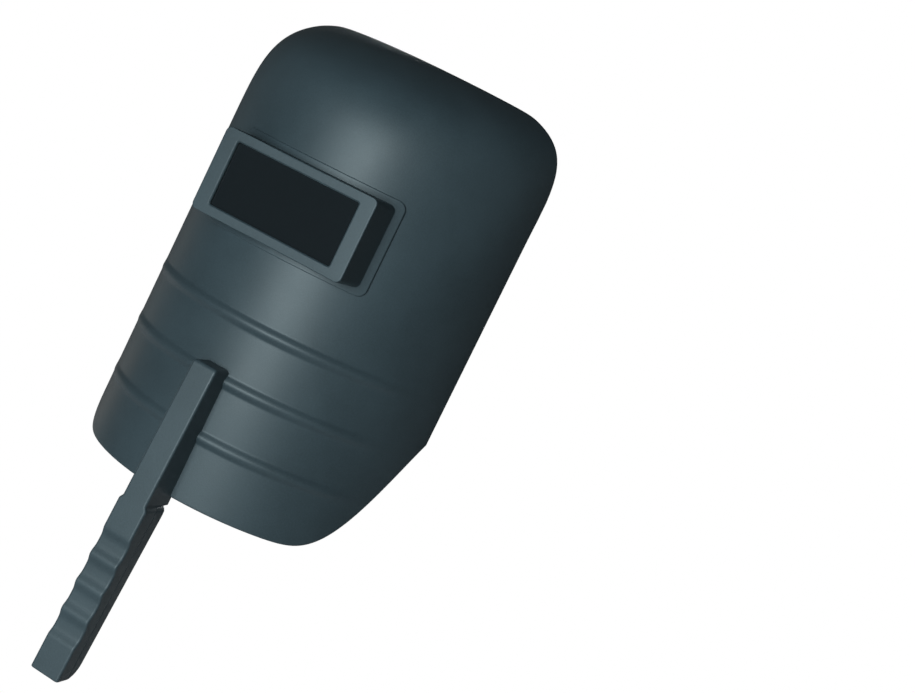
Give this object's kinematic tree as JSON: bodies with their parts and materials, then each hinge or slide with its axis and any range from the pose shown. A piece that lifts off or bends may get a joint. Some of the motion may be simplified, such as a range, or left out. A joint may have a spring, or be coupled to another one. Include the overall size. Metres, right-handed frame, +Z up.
{
  "type": "hand-held welding shield",
  "caption": "Hand-held welding shield: curved plastic face shell with a deep lens box, a pull-out filter cassette, an inner bow handle and a long outer grip.",
  "frame": {"origin": "middle of the hand grip, inside the outer grip half way down its finger grooves", "axes": "+X to the right as seen from the front, +Y towards the wearer, +Z up along the shield"},
  "size_m": [0.244, 0.1571, 0.4801],
  "materials": {
    "shell_plastic": "dark slate polypropylene with a fine moulded grain, satin on the front",
    "handle_plastic": "dark slate polypropylene, slightly scuffed",
    "black_plastic": "dark moulded plastic, semi-matt",
    "gasket_rubber": "matt black sealing rubber",
    "clear_plate": "clear polished cover plate",
    "filter_glass": "very dark green-black welding filter glass, polished",
    "brass": "bright domed head",
    "screw_steel": "zinc-plated",
    "yellow_card": "plain yellow card, no print"
  },
  "bodies": {
    "shield": {"shell": "shell_plastic", "lens_box": "shell_plastic", "window_collar": "shell_plastic", "inner_handle": "handle_plastic", "shade_card": "yellow_card", "grip_body": "handle_plastic", "grip_cover": "handle_plastic", "handle_rivet": "brass", "foot_screw": "screw_steel", "grip_washer": "screw_steel", "grip_screw": "screw_steel", "cover_screw_upper": "screw_steel", "cover_screw_lower": "screw_steel"},
    "cassette": {"retainer_frame": "black_plastic", "inner_lens": "clear_plate", "filter_plate": "filter_glass", "filter_gasket": "gasket_rubber"},
    "latch_top": {"latch_top": "black_plastic"},
    "latch_bottom": {"latch_bottom": "black_plastic"},
    "spacer": {"spacer_frame": "black_plastic"},
    "cover": {"cover_lens": "clear_plate", "cover_gasket": "gasket_rubber"}
  },
  "joints": [
    {"name": "cassette_pull", "type": "slide", "parent": "shield", "child": "cassette", "axis": [0, 1, 0], "range_m": [0, 0.04]},
    {"name": "latch_top_flex", "type": "hinge", "parent": "cassette", "child": "latch_top", "pos_m": [-0.013, 0.04915, 0.3154], "axis": [1, 0, 0], "range_deg": [0, 5], "stiffness_Nm_per_rad": 0.05},
    {"name": "latch_bottom_flex", "type": "hinge", "parent": "cassette", "child": "latch_bottom", "pos_m": [-0.013, 0.04915, 0.2646], "axis": [-1, 0, 0], "range_deg": [0, 5], "stiffness_Nm_per_rad": 0.05},
    {"name": "spacer_pull", "type": "slide", "parent": "shield", "child": "spacer", "axis": [0, 1, 0], "range_m": [0, 0.02]},
    {"name": "cover_pull", "type": "slide", "parent": "shield", "child": "cover", "axis": [0, 1, 0], "range_m": [0, 0.01]}
  ],
  "couplings": [
    {"joint": "spacer_pull", "follows": "cassette_pull", "ratio": 0.5},
    {"joint": "cover_pull", "follows": "cassette_pull", "ratio": 0.25}
  ]
}
